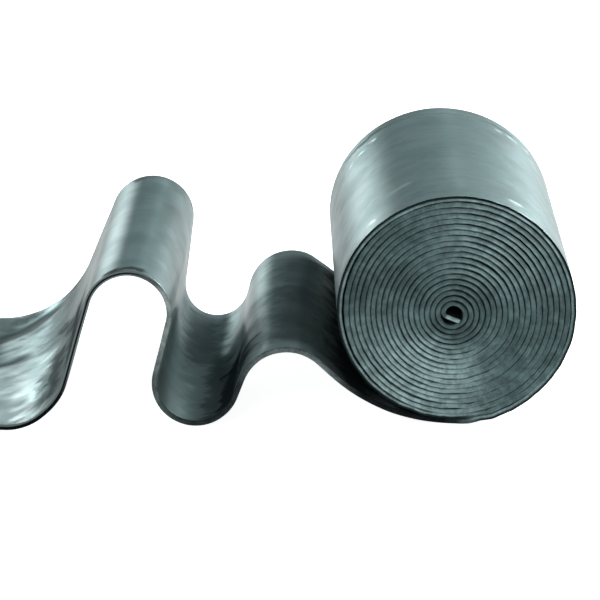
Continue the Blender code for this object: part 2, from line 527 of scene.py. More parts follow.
def sampled(tree, source, value, index, kind):
    made = node(tree, "GeometryNodeSampleIndex", {"Geometry": source, "Index": index}, data_type=kind)
    tree.links.new(value, made.inputs["Value"])
    return made.outputs["Value"]


def named(tree, name, kind):
    made = node(tree, "GeometryNodeInputNamedAttribute", {"Name": name}, data_type=kind)
    return made.outputs["Attribute"]


def point_count(tree, geometry):
    made = node(tree, "GeometryNodeAttributeDomainSize", {"Geometry": geometry})
    return made.outputs["Point Count"]


def blank_sheet(tree, near, outline):
    """A grid, and for each of its points the number of its station and of its section point."""
    rows = point_count(tree, outline)
    inputs = {"Vertices X": point_count(tree, near), "Vertices Y": rows}
    sheet = node(tree, "GeometryNodeMeshGrid", inputs).outputs["Mesh"]
    index = node(tree, "GeometryNodeInputIndex").outputs[0]
    station = maths(tree, "FLOOR", maths(tree, "DIVIDE", maths(tree, "ADD", index, 0.5), rows))
    place = maths(tree, "SUBTRACT", index, maths(tree, "MULTIPLY", station, rows))
    return sheet, station, place


def station_state(tree, near, station):
    """What the near route says of each station, by name."""
    return {
        name: sampled(tree, near, named(tree, name, "FLOAT"), station, "FLOAT")
        for name in ("along",) + STATE_NAMES
    }


# %% Unevenness of the sheet
NEAR_ROW, FAR_ROW, BRUISE_ROW = 0.0, 40.0, 20.0
CREASES_PER_METRE = (13.0, 36.0)
NOISE_MIDDLE = 0.5


def unevenness(tree, given, first, second, size):
    """Noise over two counts of its own wavelength, from minus the size to plus the size."""
    counts = combined(tree, first, second, given["Seed"])
    noise = node(tree, "ShaderNodeTexNoise", {"Vector": counts, "Scale": 1.0, "Detail": 2.0})
    centred = maths(tree, "SUBTRACT", noise.outputs["Fac"], NOISE_MIDDLE)
    return maths(tree, "MULTIPLY", centred, maths(tree, "MULTIPLY", size, 2.0))


def wander(tree, given, along, row):
    """Slow sideways noise along one edge, in metres."""
    counts = maths(tree, "DIVIDE", along, given["Wander Length"])
    return unevenness(tree, given, counts, row, given["Edge Wander"])


def slanted(tree, along, across):
    """Two counts at a slant to the strip, by which the creases of the last valley lie."""
    lengthwise = maths(tree, "MULTIPLY", maths(tree, "ADD", along, across), CREASES_PER_METRE[0])
    crosswise = maths(tree, "MULTIPLY", maths(tree, "SUBTRACT", across, along), CREASES_PER_METRE[1])
    return lengthwise, crosswise


def sideways_drift(tree, given, state, across, share, at_near_edge):
    """How far a point moves towards the far end: the wander, less what is worn off flat."""
    near_wander = wander(tree, given, state["along"], NEAR_ROW)
    far_wander = wander(tree, given, state["along"], FAR_ROW)
    wander_span = maths(tree, "SUBTRACT", far_wander, near_wander)
    drift = maths(tree, "ADD", near_wander, maths(tree, "MULTIPLY", wander_span, share))
    flattened = maths(tree, "MULTIPLY", maths(tree, "MULTIPLY", across, at_near_edge), state["worn"])
    return maths(tree, "SUBTRACT", drift, flattened)


def raised_by(tree, given, state, across, lift, at_near_edge):
    """How far a point lies above mid-sheet, with its slow waves, bruises and creases."""
    wave_along = maths(tree, "DIVIDE", state["along"], given["Wave Length"])
    wave_across = maths(tree, "DIVIDE", across, given["Wave Length"])
    wave = unevenness(tree, given, wave_along, wave_across, given["Sheet Wave"])
    bruise_along = maths(tree, "DIVIDE", state["along"], given["Bruise Length"])
    bruise = unevenness(tree, given, bruise_along, BRUISE_ROW, given["Bruise Height"])
    bruise = maths(tree, "MULTIPLY", maths(tree, "MULTIPLY", bruise, state["bruised"]), at_near_edge)
    crease_counts = slanted(tree, state["along"], across)
    crease = unevenness(tree, given, *crease_counts, given["Crease Height"])
    raised = maths(tree, "MULTIPLY", lift, state["open"])
    raised = maths(tree, "ADD", raised, maths(tree, "MULTIPLY", wave, state["free"]))
    raised = maths(tree, "ADD", raised, bruise)
    return maths(tree, "ADD", raised, maths(tree, "MULTIPLY", crease, state["creased"]))


# %% The tree that sweeps the sheet along both routes
SEAM_DISTANCE = 0.00001


def on_floor(tree, point):
    """The point, lifted to the floor if it would lie below it."""
    parts = node(tree, "ShaderNodeSeparateXYZ", {"Vector": point}).outputs
    return combined(tree, parts["X"], parts["Y"], maths(tree, "MAXIMUM", parts["Z"], 0.0))


def stored(tree, geometry, name, value):
    inputs = {"Geometry": geometry, "Name": name, "Value": value}
    made = node(tree, "GeometryNodeStoreNamedAttribute", inputs, data_type="FLOAT", domain="POINT")
    return made.outputs["Geometry"]


def finished_sheet(tree, sheet, material):
    """The sheet with its seam closed and its material set."""
    seam = {"Geometry": sheet, "Distance": SEAM_DISTANCE}
    sheet = node(tree, "GeometryNodeMergeByDistance", seam).outputs[0]
    sheet = node(tree, "GeometryNodeRealizeInstances", {"Geometry": sheet}).outputs[0]
    return node(tree, "GeometryNodeSetMaterial", {"Geometry": sheet, "Material": material}).outputs[0]


def sweep_tree():
    tree = bpy.data.node_groups.new("sheet_sweep", "GeometryNodeTree")
    tree.interface.new_socket("Geometry", in_out="INPUT", socket_type="NodeSocketGeometry")
    for name, kind, _ in SWEEP_INPUTS:
        tree.interface.new_socket(name, in_out="INPUT", socket_type=kind)
    tree.interface.new_socket("Geometry", in_out="OUTPUT", socket_type="NodeSocketGeometry")
    given = node(tree, "NodeGroupInput").outputs
    near, far, outline = [
        node(tree, "GeometryNodeObjectInfo", {"Object": given[name]}).outputs["Geometry"]
        for name in ("Near Route", "Far Route", "Section")
    ]

    sheet, station, place = blank_sheet(tree, near, outline)
    state = station_state(tree, near, station)
    position = node(tree, "GeometryNodeInputPosition").outputs[0]
    near_point = sampled(tree, near, position, station, "FLOAT_VECTOR")
    far_point = sampled(tree, far, position, station, "FLOAT_VECTOR")
    near_up = sampled(tree, near, named(tree, "up", "FLOAT_VECTOR"), station, "FLOAT_VECTOR")
    far_up = sampled(tree, far, named(tree, "up", "FLOAT_VECTOR"), station, "FLOAT_VECTOR")
    outline_point = sampled(tree, outline, position, place, "FLOAT_VECTOR")
    outline_parts = node(tree, "ShaderNodeSeparateXYZ", {"Vector": outline_point}).outputs
    across, lift = outline_parts["X"], outline_parts["Z"]

    share = maths(tree, "DIVIDE", across, given["Strip Width"])
    inside = maths(tree, "DIVIDE", maths(tree, "SUBTRACT", across, EDGE_DEPTH), given["Bruise Depth"])
    at_near_edge = maths(tree, "SUBTRACT", 1.0, inside, clamp=True)
    drift = sideways_drift(tree, given, state, across, share, at_near_edge)
    raised = raised_by(tree, given, state, across, lift, at_near_edge)

    span = vector_maths(tree, "SUBTRACT", far_point, near_point)
    sideways = vector_maths(tree, "NORMALIZE", span)
    up_span = vector_maths(tree, "SUBTRACT", far_up, near_up)
    up = vector_maths(tree, "ADD", near_up, scaled(tree, up_span, share))
    point = vector_maths(tree, "ADD", near_point, scaled(tree, span, share))
    point = vector_maths(tree, "ADD", point, scaled(tree, sideways, drift))
    point = vector_maths(tree, "ADD", point, scaled(tree, up, raised))
    placed = {"Geometry": sheet, "Position": on_floor(tree, point)}
    sheet = node(tree, "GeometryNodeSetPosition", placed).outputs[0]
    kept = {
        "along": state["along"], "across": across, "lift": lift,
        "worn": state["worn"], "rubbed": state["rubbed"],
    }
    for name, value in kept.items():
        sheet = stored(tree, sheet, name, value)
    node(tree, "NodeGroupOutput", {"Geometry": finished_sheet(tree, sheet, given["Lead"])})
    print(len(tree.nodes), "nodes in the sweep")
    return tree


# %% [markdown]
# The finish: weathered sheet lead
#
# Fresh lead is bright, but within days it turns a dull grey with a green-blue cast. The
# mill's rolls leave faint streaks along the strip, handling leaves brighter scuffs and small
# dents, and the cut edges are darker. Over that go painted highlights and painted shade, on
# the flat sides and on the cut edges. All of that follows the strip round the roll and over
# the waves, so it is worked out from the along and across attributes, which are lengths on
# the strip itself, and not from the place in space. Only the smears on the roll's ends run
# over many turns at once, and those take the place in space.

# %% Helpers for the finish
SIDES_APART = 3000.0
MARK_FADE = (1.2, 0.15)


def attribute(tree, name):
    return node(tree, "ShaderNodeAttribute", attribute_name=name).outputs["Fac"]


def noise(tree, vector, scale, detail=3.0, roughness=0.5, output="Fac"):
    inputs = {"Vector": vector, "Scale": scale, "Detail": detail, "Roughness": roughness}
    return node(tree, "ShaderNodeTexNoise", inputs).outputs[output]


def ranged(tree, value, span, result=(0.0, 1.0)):
    """The value carried smoothly from its span to the result's, and held at the ends."""
    inputs = {
        "Value": value,
        "From Min": span[0], "From Max": span[1],
        "To Min": result[0], "To Max": result[1],
    }
    made = node(tree, "ShaderNodeMapRange", inputs, interpolation_type="SMOOTHSTEP")
    return made.outputs["Result"]


def blended(tree, factor, first, second):
    made = node(tree, "ShaderNodeMix", {0: factor}, data_type="RGBA")
    for socket, value in ((made.inputs[6], first), (made.inputs[7], second)):
        if isinstance(value, bpy.types.NodeSocket):
            tree.links.new(value, socket)
        else:
            socket.default_value = value
    return made.outputs[2]


def between(tree, share, first, second):
    """A number that runs from the first to the second as the share goes from nothing to one."""
    run = maths(tree, "SUBTRACT", second, first)
    return maths(tree, "ADD", first, maths(tree, "MULTIPLY", share, run))


def stretched(tree, along, across, lift, along_scale, across_scale):
    """A place for a pattern that is stretched along the strip and differs on its two sides."""
    return combined(
        tree,
        maths(tree, "MULTIPLY", along, along_scale),
        maths(tree, "MULTIPLY", across, across_scale),
        maths(tree, "MULTIPLY", lift, SIDES_APART),
    )


# %% Marks and rows of tones
def mark(tree, place, start, end, reach):
    """One on the line from start to end, fading smoothly to nothing a little past the reach."""
    run = Vector((end[0] - start[0], end[1] - start[1], 0.0))
    offset = vector_maths(tree, "SUBTRACT", place, (start[0], start[1], 0.0))
    if run.length > 0:
        unit = run / run.length_squared
        along_run = node(tree, "ShaderNodeVectorMath", {0: offset, 1: unit}, operation="DOT_PRODUCT")
        share = maths(tree, "ADD", along_run.outputs["Value"], 0.0, clamp=True)
        offset = vector_maths(tree, "SUBTRACT", offset, scaled(tree, run, share))
    distance = node(tree, "ShaderNodeVectorMath", {0: offset}, operation="LENGTH").outputs["Value"]
    return ranged(tree, distance, [reach * part for part in MARK_FADE])


def marks(tree, place, rows):
    """The strongest of several marks at each point, each (start, end, reach, strength)."""
    total = None
    for start, end, reach, strength in rows:
        one = maths(tree, "MULTIPLY", mark(tree, place, start, end, reach), strength)
        total = one if total is None else maths(tree, "MAXIMUM", total, one)
    return total


def ramp(tree, value, stops):
    """A row of tones over the value, each stop as (value, tone)."""
    low, high = stops[0][0], stops[-1][0]
    share = maths(tree, "DIVIDE", maths(tree, "SUBTRACT", value, low), high - low, clamp=True)
    made = node(tree, "ShaderNodeValToRGB", {"Fac": share})
    elements = made.color_ramp.elements
    while len(elements) < len(stops):
        elements.new(0.5)
    for element, (at, tone) in zip(elements, stops):
        element.position = (at - low) / (high - low)
        element.color = (*tone, 1.0)
    return made.outputs["Color"]


# %% [markdown]
# Where the finish differs, as a map of the strip
#
# The places below are (along, across) on the strip in metres, read off the waves: minus is
# the tail, zero is the roll's bottom, and the outermost turn runs on from there. Painted
# shade, with some patina, darkens the strip from the second valley to the roll and in the
# valleys. Light marks, partly scuffs and partly painted highlights, lie on some flanks and
# on the dents. The dents lie near both rims of the barrel.
# A painted image could hold the same map, but a list of marks stays sharp at any size.

# %% Painted shade with patina, light marks with painted highlights, and dents, as (start, end, reach, strength)
# Painted shade, with some patina: dark marks in the valleys, by the roll and along the edges.
SHADE_AND_PATINA_MARKS = (
    ((-0.062, 0.000), (-0.063, 0.090), 0.018, 0.73),
    ((-0.063, 0.090), (-0.064, 0.150), 0.018, 0.64),
    ((-0.038, 0.000), (-0.040, 0.150), 0.023, 1.00),
    ((-0.010, 0.000), (-0.010, 0.150), 0.022, 1.00),
    ((-0.095, 0.002), (-0.094, 0.050), 0.015, 1.00),
    ((-0.102, 0.002), (-0.104, 0.080), 0.010, 0.84),
    ((-0.086, 0.002), (-0.084, 0.032), 0.011, 0.94),
    ((-0.106, 0.004), (-0.110, 0.080), 0.015, 0.62),
    ((-0.110, 0.080), (-0.115, 0.140), 0.016, 0.80),
    ((-0.217, 0.004), (-0.221, 0.085), 0.010, 0.86),
    ((-0.208, 0.004), (-0.213, 0.045), 0.010, 0.84),
    ((-0.2350, 0.016), (-0.2322, 0.064), 0.0066, 0.66),
    ((-0.2410, 0.026), (-0.2390, 0.044), 0.0040, 0.40),
    ((-0.2265, 0.078), (-0.2330, 0.100), 0.0045, 0.60),
    ((-0.2400, 0.086), (-0.2340, 0.140), 0.0090, 0.36),
    ((-0.2395, 0.014), (-0.2460, 0.004), 0.0045, 0.65),
    ((-0.2620, 0.146), (-0.2580, 0.120), 0.0080, 0.45),
    ((-0.160, 0.149), (-0.185, 0.149), 0.0045, 0.60),
    ((-0.235, 0.149), (-0.196, 0.149), 0.0045, 0.50),
    ((-0.184, 0.003), (-0.174, 0.004), 0.0042, 0.85),
    ((-0.256, 0.140), (-0.250, 0.146), 0.006, 0.60),
    ((0.098, 0.1410), (0.165, 0.1410), 0.0030, 0.50),
)
# Light marks: scuffs, and painted highlights on some flanks and on the dents.
SCUFFS_AND_PAINTED_HIGHLIGHTS = (
    ((-0.129, 0.010), (-0.138, 0.060), 0.020, 0.85),
    ((-0.252, 0.008), (-0.258, 0.066), 0.013, 0.90),
    ((-0.088, 0.100), (-0.090, 0.148), 0.012, 0.40),
    ((-0.080, 0.003), (-0.050, 0.003), 0.010, 0.36),
    ((-0.243, 0.0030), (-0.205, 0.0030), 0.0020, 0.35),
    ((0.178, 0.020), (0.178, 0.120), 0.030, 0.28),
    ((0.1045, 0.0125), (0.1052, 0.0120), 0.0032, 0.60),
    ((0.1565, 0.0080), (0.1572, 0.0115), 0.0026, 0.60),
    ((0.1530, 0.1310), (0.1530, 0.1310), 0.0026, 0.90),
    ((0.1580, 0.1272), (0.1592, 0.1266), 0.0020, 0.85),
    ((0.1640, 0.1252), (0.1662, 0.1246), 0.0022, 0.90),
    ((0.1042, 0.1335), (0.1042, 0.1335), 0.0022, 0.80),
    ((0.0995, 0.1347), (0.0980, 0.1351), 0.0022, 0.85),
    ((0.0911, 0.1381), (0.0911, 0.1381), 0.0022, 0.80),
    ((0.0896, 0.1278), (0.0869, 0.1185), 0.0018, 0.50),
    ((0.1420, 0.0340), (0.1470, 0.0320), 0.0026, 0.50),
)
DENTS = (
    ((0.1055, 0.0125), (0.1035, 0.0125), 0.0026, 1.0),
    ((0.1568, 0.0090), (0.1570, 0.0105), 0.0018, 0.7),
    ((0.1530, 0.1310), (0.1530, 0.1310), 0.0022, 1.0),
    ((0.1585, 0.1265), (0.1585, 0.1275), 0.0020, 0.8),
    ((0.1625, 0.1250), (0.1630, 0.1250), 0.0018, 0.7),
    ((0.1664, 0.1244), (0.1664, 0.1250), 0.0018, 0.7),
    ((0.1110, 0.1400), (0.1110, 0.1400), 0.0018, 0.6),
    ((0.1042, 0.1335), (0.1042, 0.1335), 0.0020, 0.8),
    ((0.0992, 0.1350), (0.0992, 0.1350), 0.0022, 0.9),
    ((0.0960, 0.1350), (0.0960, 0.1350), 0.0016, 0.7),
    ((0.0911, 0.1381), (0.0911, 0.1381), 0.0020, 0.8),
    ((0.0896, 0.1278), (0.0896, 0.1278), 0.0018, 0.6),
)
print(len(SHADE_AND_PATINA_MARKS), "dark marks,", len(SCUFFS_AND_PAINTED_HIGHLIGHTS), "scuffs and", len(DENTS), "dents")

# %% [markdown]
# The tones of the lead
#
# Every tone is a grey with a little less red than green and blue. On the flat sides the
# tone drifts between two greys, and the marks of the map are laid over that, with their
# outlines frayed by a noise so that they don't look stamped.

# %% Tones of the flat sides
MID_TONE = (0.250, 0.318, 0.322, 1)
LIGHT_TONE = (0.322, 0.396, 0.398, 1)
# Mill streaks, scuffs and painted highlights share this light tone.
STREAK_SCUFF_AND_HIGHLIGHT_TONE = (0.58, 0.67, 0.67, 1)
# Painted shade and patina share this near black tone.
SHADE_AND_PATINA_TONE = (0.012, 0.016, 0.018, 1)
PATCH_SPAN = (0.35, 0.65)
STREAK_SPAN, STREAK_SHARES = (0.44, 0.70), (0.0, 0.12)
SCUFF_AND_HIGHLIGHT_SPAN, SCUFF_AND_HIGHLIGHT_SHARES = (0.30, 0.55), (0.5, 1.0)
SHADE_AND_PATINA_SPAN, SHADE_AND_PATINA_SHARES = (0.25, 0.60), (1.0, 0.985)
FRAY_SCALE, FRAY_REACH = 130.0, 0.016


def ragged(tree, place):
    """The place moved about by a few millimetres of noise, which frays the marks' outlines."""
    wobble = noise(tree, place, FRAY_SCALE, detail=3.0, roughness=0.6, output="Color")
    centred = vector_maths(tree, "SUBTRACT", wobble, (NOISE_MIDDLE,) * 3)
    flat = vector_maths(tree, "MULTIPLY", scaled(tree, centred, FRAY_REACH), (1.0, 1.0, 0.0))
    return vector_maths(tree, "ADD", place, flat)


def sheet_tone(tree, place, patches, streaks, mottled):
    """Tone of the flat sides, with painted highlights, and how far painted shade and patina dull it.
    """
    tone = blended(tree, ranged(tree, patches, PATCH_SPAN), MID_TONE, LIGHT_TONE)
    tone = blended(tree, ranged(tree, streaks, STREAK_SPAN, STREAK_SHARES), tone, STREAK_SCUFF_AND_HIGHLIGHT_TONE)
    broken = ranged(tree, patches, SCUFF_AND_HIGHLIGHT_SPAN, SCUFF_AND_HIGHLIGHT_SHARES)
    # Scuffs and painted highlights, broken up by the patches.
    scuffs_and_highlights = maths(tree, "MULTIPLY", marks(tree, place, SCUFFS_AND_PAINTED_HIGHLIGHTS), broken)
    # Painted shade with some patina, and the mottles, dull the sheet here.
    dull_shade_and_patina = maths(tree, "MAXIMUM", marks(tree, ragged(tree, place), SHADE_AND_PATINA_MARKS), mottled)
    dull_shade_and_patina = maths(tree, "MULTIPLY", dull_shade_and_patina, maths(tree, "SUBTRACT", 1.0, scuffs_and_highlights))
    dull_shade_and_patina = maths(tree, "MULTIPLY", dull_shade_and_patina, ranged(tree, streaks, SHADE_AND_PATINA_SPAN, SHADE_AND_PATINA_SHARES))
    tone = blended(tree, scuffs_and_highlights, tone, STREAK_SCUFF_AND_HIGHLIGHT_TONE)
    return blended(tree, dull_shade_and_patina, tone, SHADE_AND_PATINA_TONE), dull_shade_and_patina


# %% [markdown]
# The cut edges
#
# The end of the roll is nothing but cut edge. Its tone is dark in the joints between the
# turns, as painted shade and dirt, less so where the edges are worn flat, smeared and blotchy
# on top, lighter where painted light falls on it, and nearly black along the rim of the
# outermost turn, which is painted shade. On the tail, the edge carries painted light and
# shade by its length, near black in the valleys and by the roll, and painted light makes it
# lighter on its lower side down the last flank, and on its upper side from the big crest on.
# Joints that are this fine would cost too many faces as grooves, so the rounded edges and
# the tone share the work.

# %% Tones of the cut edge along the tail, painted light and shade, as (along, tone)
CUT_EDGE_LIGHT_AND_SHADE_TONES = (
    (-0.290, (0.004, 0.005, 0.006)),
    (-0.182, (0.004, 0.006, 0.006)),
    (-0.175, (0.014, 0.018, 0.018)),
    (-0.169, (0.10, 0.12, 0.12)),
    (-0.163, (0.24, 0.28, 0.28)),
    (-0.145, (0.20, 0.24, 0.24)),
    (-0.132, (0.11, 0.135, 0.135)),
    (-0.118, (0.042, 0.054, 0.056)),
    (-0.104, (0.024, 0.032, 0.034)),
    (-0.086, (0.022, 0.029, 0.031)),
    (-0.076, (0.12, 0.15, 0.15)),
    (-0.052, (0.14, 0.17, 0.17)),
    (-0.034, (0.012, 0.014, 0.015)),
    (-0.004, (0.008, 0.010, 0.011)),
    (0.010, (0.062, 0.095, 0.097)),
)
print(len(CUT_EDGE_LIGHT_AND_SHADE_TONES), "tones along the cut edge, from the end of the tail to the roll")

# %% Tone of the cut edges
# Painted shade and dirt in the joints between the turns, in place of deeper grooves.
GROOVE_SHADE_AND_DIRT_TONE = (0.042, 0.066, 0.069, 1)
# Painted light on the roll's end: the lighter tone of its lit rings.
END_PAINTED_LIGHT_TONE = (0.255, 0.356, 0.361, 1)
# Painted shade: a near black line along the rim of the outermost turn.
RIM_SHADE_TONE = (0.012, 0.018, 0.019, 1)
# Painted light on the tail's cut edge: its lower side down the last flank, its upper rounding from
# the big crest on.
TAIL_EDGE_LIGHT_TONE = (0.20, 0.24, 0.24, 1)
# The outermost turn's cut edge takes a little painted light all round.
OUTERMOST_SPAN, OUTERMOST_PAINTED_LIGHT = (0.255, 0.250), 0.30
GROOVE_SPAN = (EDGE_DEPTH * 0.06, EDGE_DEPTH * 0.6)
GROOVE_SHARE, GROOVE_WORN_OFF = 0.64, 0.60
SMEAR_SCALE, SMEAR_SPAN, SMEAR_SHARES = 420.0, (0.32, 0.68), (0.74, 1.28)
BLOTCH_SCALE, BLOTCH_SPAN, BLOTCH_SHARES = 120.0, (0.3, 0.7), (0.82, 1.18)
RIM_LIFT, RIM_UNTIL = (0.0003, -0.0003), (0.262, 0.250)
UNDERCUT_LIFT = (-0.0001, -0.0005)
UNDERCUT_FROM, UNDERCUT_UNTIL = (-0.165, -0.180), (-0.232, -0.214)
BROW_LIFT, BROW_FROM = (0.0002, 0.0006), (-0.160, -0.180)


def grooved(tree, tone, from_edge, wound):
    """The tone darkened by painted shade and dirt towards the joints between the turns, less where
    they are worn.
    """
    groove = maths(tree, "MULTIPLY", ranged(tree, from_edge, GROOVE_SPAN), wound)
    worn_off = maths(tree, "MULTIPLY", attribute(tree, "worn"), GROOVE_WORN_OFF)
    groove = maths(tree, "MULTIPLY", groove, maths(tree, "SUBTRACT", GROOVE_SHARE, worn_off))
    return blended(tree, groove, tone, GROOVE_SHADE_AND_DIRT_TONE)


def smeared(tree, tone):
    """The tone made uneven over the roll's end, from turn to turn and in larger blotches."""
    on_end = node(tree, "ShaderNodeTexCoord").outputs["Object"]
    smears = noise(tree, on_end, SMEAR_SCALE, detail=3.0, roughness=0.7)
    smears = ranged(tree, smears, SMEAR_SPAN, SMEAR_SHARES)
    blotches = noise(tree, on_end, BLOTCH_SCALE, detail=2.0, roughness=0.5)
    blotches = ranged(tree, blotches, BLOTCH_SPAN, BLOTCH_SHARES)
    return scaled(tree, tone, maths(tree, "MULTIPLY", smears, blotches))


def cut_tone(tree, along, lift, from_edge, wound):
    """Tone of the cut edges: painted light and shade by length on the tail, painted light and painted
    shade on the roll's ends.
    """
    # Painted light and shade along the tail's cut edge, by its length.
    tone = ramp(tree, along, CUT_EDGE_LIGHT_AND_SHADE_TONES)
    # Painted light: lighter in the lit sectors, on the tongue and a little on the outermost turn.
    outermost = ranged(tree, along, OUTERMOST_SPAN, (0.0, OUTERMOST_PAINTED_LIGHT))
    rubbed = maths(tree, "ADD", attribute(tree, "rubbed"), outermost)
    tone = blended(tree, maths(tree, "MULTIPLY", rubbed, wound, clamp=True), tone, END_PAINTED_LIGHT_TONE)
    tone = smeared(tree, grooved(tree, tone, from_edge, wound))
    # Painted shade along the rim of the outermost turn.
    rim = maths(tree, "MULTIPLY", ranged(tree, lift, RIM_LIFT), ranged(tree, along, RIM_UNTIL))
    tone = blended(tree, maths(tree, "MULTIPLY", rim, wound), tone, RIM_SHADE_TONE)
    # Painted light on the lower side of the tail's edge down the last flank, and on its upper
    # rounding from the big crest on.
    flank_from, flank_until = ranged(tree, along, UNDERCUT_FROM), ranged(tree, along, UNDERCUT_UNTIL)
    flank = maths(tree, "MULTIPLY", flank_from, flank_until)
    undercut = maths(tree, "MULTIPLY", ranged(tree, lift, UNDERCUT_LIFT), flank)
    brow = maths(tree, "MULTIPLY", ranged(tree, lift, BROW_LIFT), ranged(tree, along, BROW_FROM))
    return blended(tree, maths(tree, "MAXIMUM", undercut, brow), tone, TAIL_EDGE_LIGHT_TONE)


# %% [markdown]
# The lead itself
#
# Lead is a metal, so its colour is the colour of its mirror, and the roughness spreads that
# mirror into a soft sheen. Where the patina is thick it is a dull oxide and no metal at all,
# which is why the patina lowers the metal as well as the tone; the painted shade that shares
# its marks lowers the metal too. The fine relief is a bump: grain, rolling streaks and small
# dents. The creases of the last valley are in the mesh already, and the bump only sharpens
# them, from the same noise.

# %% Relief and roughness
GRAIN_SCALES = (300.0, 420.0)
GRAIN_BUMP, STREAK_BUMP, PATCH_BUMP = 0.05, 0.03, 0.30
DENT_BUMP, CREASE_BUMP = 0.50, 4.5
RELIEF_DISTANCE = 0.0004
BARREL_ROUGHNESS, TOPSIDE_ROUGHNESS, EDGE_ROUGHNESS = 0.335, 0.31, 0.45
PATCH_ROUGH_SPAN, PATCH_ROUGHNESS = (0.3, 0.7), (0.03, -0.03)


def lead_relief(tree, along, across, lift, place, patches, streaks, creases):
    counts = stretched(tree, along, across, lift, *GRAIN_SCALES)
    grain = noise(tree, counts, 1.0, detail=1.0, roughness=0.5)
    height = maths(tree, "MULTIPLY", grain, GRAIN_BUMP)
    height = maths(tree, "ADD", height, maths(tree, "MULTIPLY", streaks, STREAK_BUMP))
    height = maths(tree, "ADD", height, maths(tree, "MULTIPLY", patches, PATCH_BUMP))
    dents = maths(tree, "MULTIPLY", marks(tree, place, DENTS), DENT_BUMP)
    height = maths(tree, "SUBTRACT", height, dents)
    height = maths(tree, "ADD", height, maths(tree, "MULTIPLY", creases, CREASE_BUMP))
    inputs = {"Height": height, "Strength": 1.0, "Distance": RELIEF_DISTANCE}
    return node(tree, "ShaderNodeBump", inputs).outputs[0]


def lead_roughness(tree, lift, patches, on_edge):
    """The barrel's outside, which is the sheet's lower side, is a touch rougher than the top."""
    sides = (BARREL_ROUGHNESS, TOPSIDE_ROUGHNESS)
    rough = ranged(tree, lift, (-HALF_SHEET / 2, HALF_SHEET / 2), sides)
    rough = maths(tree, "ADD", rough, ranged(tree, patches, PATCH_ROUGH_SPAN, PATCH_ROUGHNESS))
    return between(tree, on_edge, rough, EDGE_ROUGHNESS)


# %% Creases and mottles
FOLD_SPAN, FOLD_SHARES = (0.02, -0.13), (0.0, 0.62)
MOTTLE_SCALES, MOTTLE_SPAN, MOTTLE_SHARES = (190.0, 230.0), (0.46, 0.72), (0.0, 0.16)
BARREL_SIDE_SPAN = (0.0, -0.0004)


def crease_field(tree, along, across):
    """Height of the creases at each point, the same noise that the sweep raises them by."""
    counts = combined(tree, *slanted(tree, along, across), SEED)
    creases = noise(tree, counts, 1.0, detail=2.0, roughness=0.5)
    creases = maths(tree, "SUBTRACT", creases, NOISE_MIDDLE)
    return maths(tree, "MULTIPLY", creases, ranged(tree, along, CREASED_SPAN))


def mottled_patina(tree, along, across, lift, creases):
    """A thin patina: in the folds of the creases, and in mottles on the barrel's side."""
    folds = ranged(tree, creases, FOLD_SPAN, FOLD_SHARES)
    counts = stretched(tree, along, across, lift, *MOTTLE_SCALES)
    mottles = noise(tree, counts, 1.0, detail=2.0, roughness=0.6)
    mottles = ranged(tree, mottles, MOTTLE_SPAN, MOTTLE_SHARES)
    mottles = maths(tree, "MULTIPLY", mottles, ranged(tree, lift, BARREL_SIDE_SPAN))
    return maths(tree, "MAXIMUM", mottles, folds)


# %% The lead material
STREAK_SCALES, PATCH_SCALES = (9.0, 420.0), (60.0, 60.0)
EDGE_SPAN = (EDGE_DEPTH * 1.5, EDGE_DEPTH * 0.9)
WOUND_SPAN = (0.0, 0.010)
TAIL_EDGE_METAL = 0.10
EDGE_ON_TINT = (0.3, 0.3, 0.3, 1)


def lead_material():
    material = bpy.data.materials.new("weathered_lead")
    material.use_nodes = True
    tree = material.node_tree
    surface = tree.nodes["Principled BSDF"]
    along, across, lift = [attribute(tree, name) for name in ("along", "across", "lift")]
    place = combined(tree, along, across)
    streak_counts = stretched(tree, along, across, lift, *STREAK_SCALES)
    streaks = noise(tree, streak_counts, 1.0, detail=3.0, roughness=0.6)
    patch_counts = stretched(tree, along, across, lift, *PATCH_SCALES)
    patches = noise(tree, patch_counts, 1.0, detail=3.0, roughness=0.55)
    from_far = maths(tree, "SUBTRACT", STRIP_WIDTH, across)
    from_edge = maths(tree, "MINIMUM", across, from_far)
    on_edge = ranged(tree, from_edge, EDGE_SPAN)
    wound = ranged(tree, along, WOUND_SPAN)

    creases = crease_field(tree, along, across)
    mottled = mottled_patina(tree, along, across, lift, creases)
    sheet, dull_shade_and_patina = sheet_tone(tree, place, patches, streaks, mottled)
    tone = blended(tree, on_edge, sheet, cut_tone(tree, along, lift, from_edge, wound))
    edge_metal = ranged(tree, wound, (0.0, 1.0), (TAIL_EDGE_METAL, 1.0))
    # Painted shade and patina both lower the metal.
    metal = between(tree, on_edge, maths(tree, "SUBTRACT", 1.0, dull_shade_and_patina), edge_metal)
    relief = lead_relief(tree, along, across, lift, place, patches, streaks, creases)
    tree.links.new(tone, surface.inputs["Base Color"])
    tree.links.new(metal, surface.inputs["Metallic"])
    tree.links.new(lead_roughness(tree, lift, patches, on_edge), surface.inputs["Roughness"])
    tree.links.new(relief, surface.inputs["Normal"])
    surface.inputs["Specular IOR Level"].default_value = 0.0
    surface.inputs["Specular Tint"].default_value = EDGE_ON_TINT
    return material


lead = lead_material()
print(len(lead.node_tree.nodes), "nodes in the lead")

# %% [markdown]
# Running the sweep
#
# The modifier gets its inputs by the sockets' identifiers, Blender works the tree out once,
# and the result is kept as a plain mesh. A live modifier would look the same here. The mesh
# is then set down where the solid strip lies.

